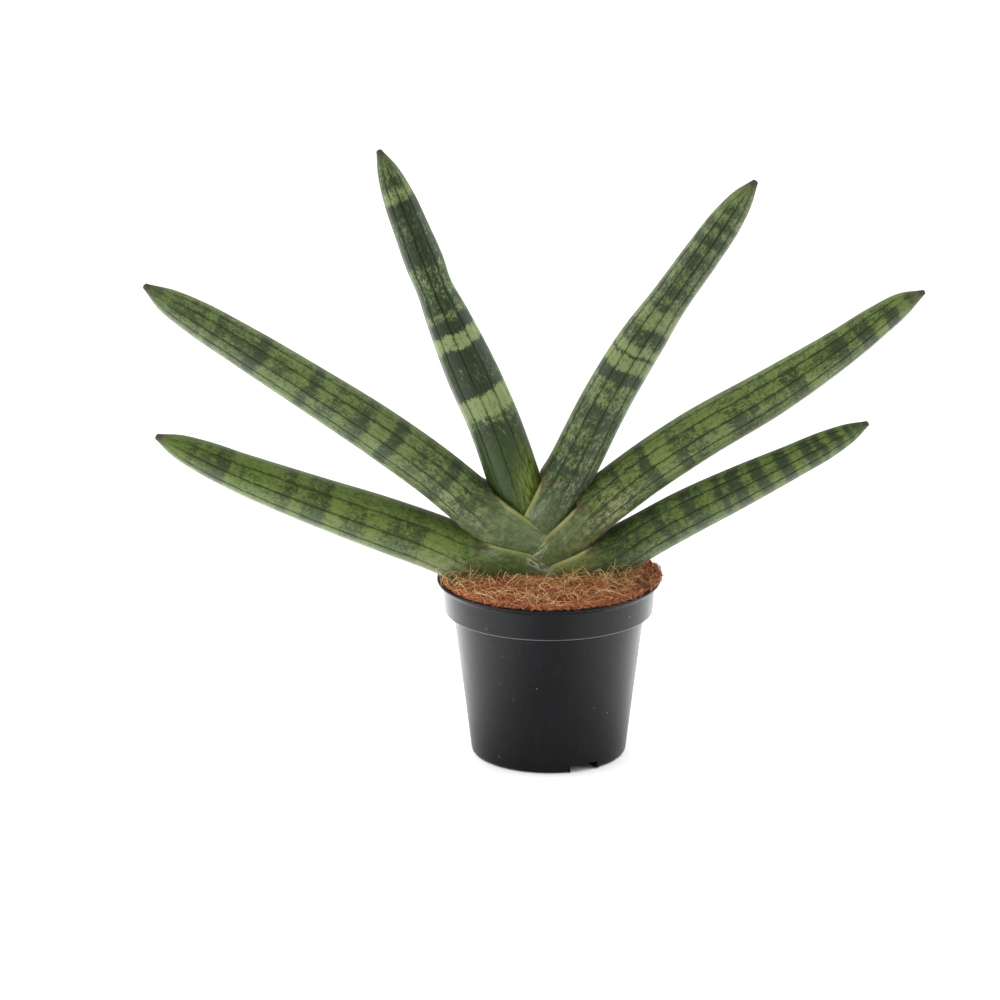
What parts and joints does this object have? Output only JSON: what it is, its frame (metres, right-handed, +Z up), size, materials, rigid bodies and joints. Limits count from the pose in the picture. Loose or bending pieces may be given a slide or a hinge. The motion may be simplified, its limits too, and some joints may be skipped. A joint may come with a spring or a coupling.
{
  "type": "cylindrical snake plant",
  "caption": "Potted cylindrical snake plant: round, grooved, banded leaves standing in one flat fan, with clasping sheaths, in coir in a round black nursery pot with a collar.",
  "frame": {"origin": "centre of the pot's flat foot, on the surface that it stands on", "axes": "+Z up along the pot's axis; +X along the fan of leaves, to the right when it is looked at from the front; -Y is the front"},
  "size_m": [0.4144, 0.12, 0.332],
  "materials": {
    "pot_plastic": "black injection-moulded polypropylene, smooth and semi-gloss",
    "coir": "loose rust-brown coconut fibre with pale straws, dry and matt",
    "rhizome": "tan, woody, matt",
    "leaf": "firm green skin with darker and paler cross bands and a weak waxy sheen"
  },
  "bodies": {
    "root": {"pot": "pot_plastic", "coir": "coir", "rhizome": "rhizome", "leaf_left_high": "leaf", "leaf_right_high": "leaf", "leaf_left_middle": "leaf", "leaf_right_middle": "leaf", "leaf_left_low": "leaf", "leaf_right_low": "leaf"}
  },
  "joints": []
}
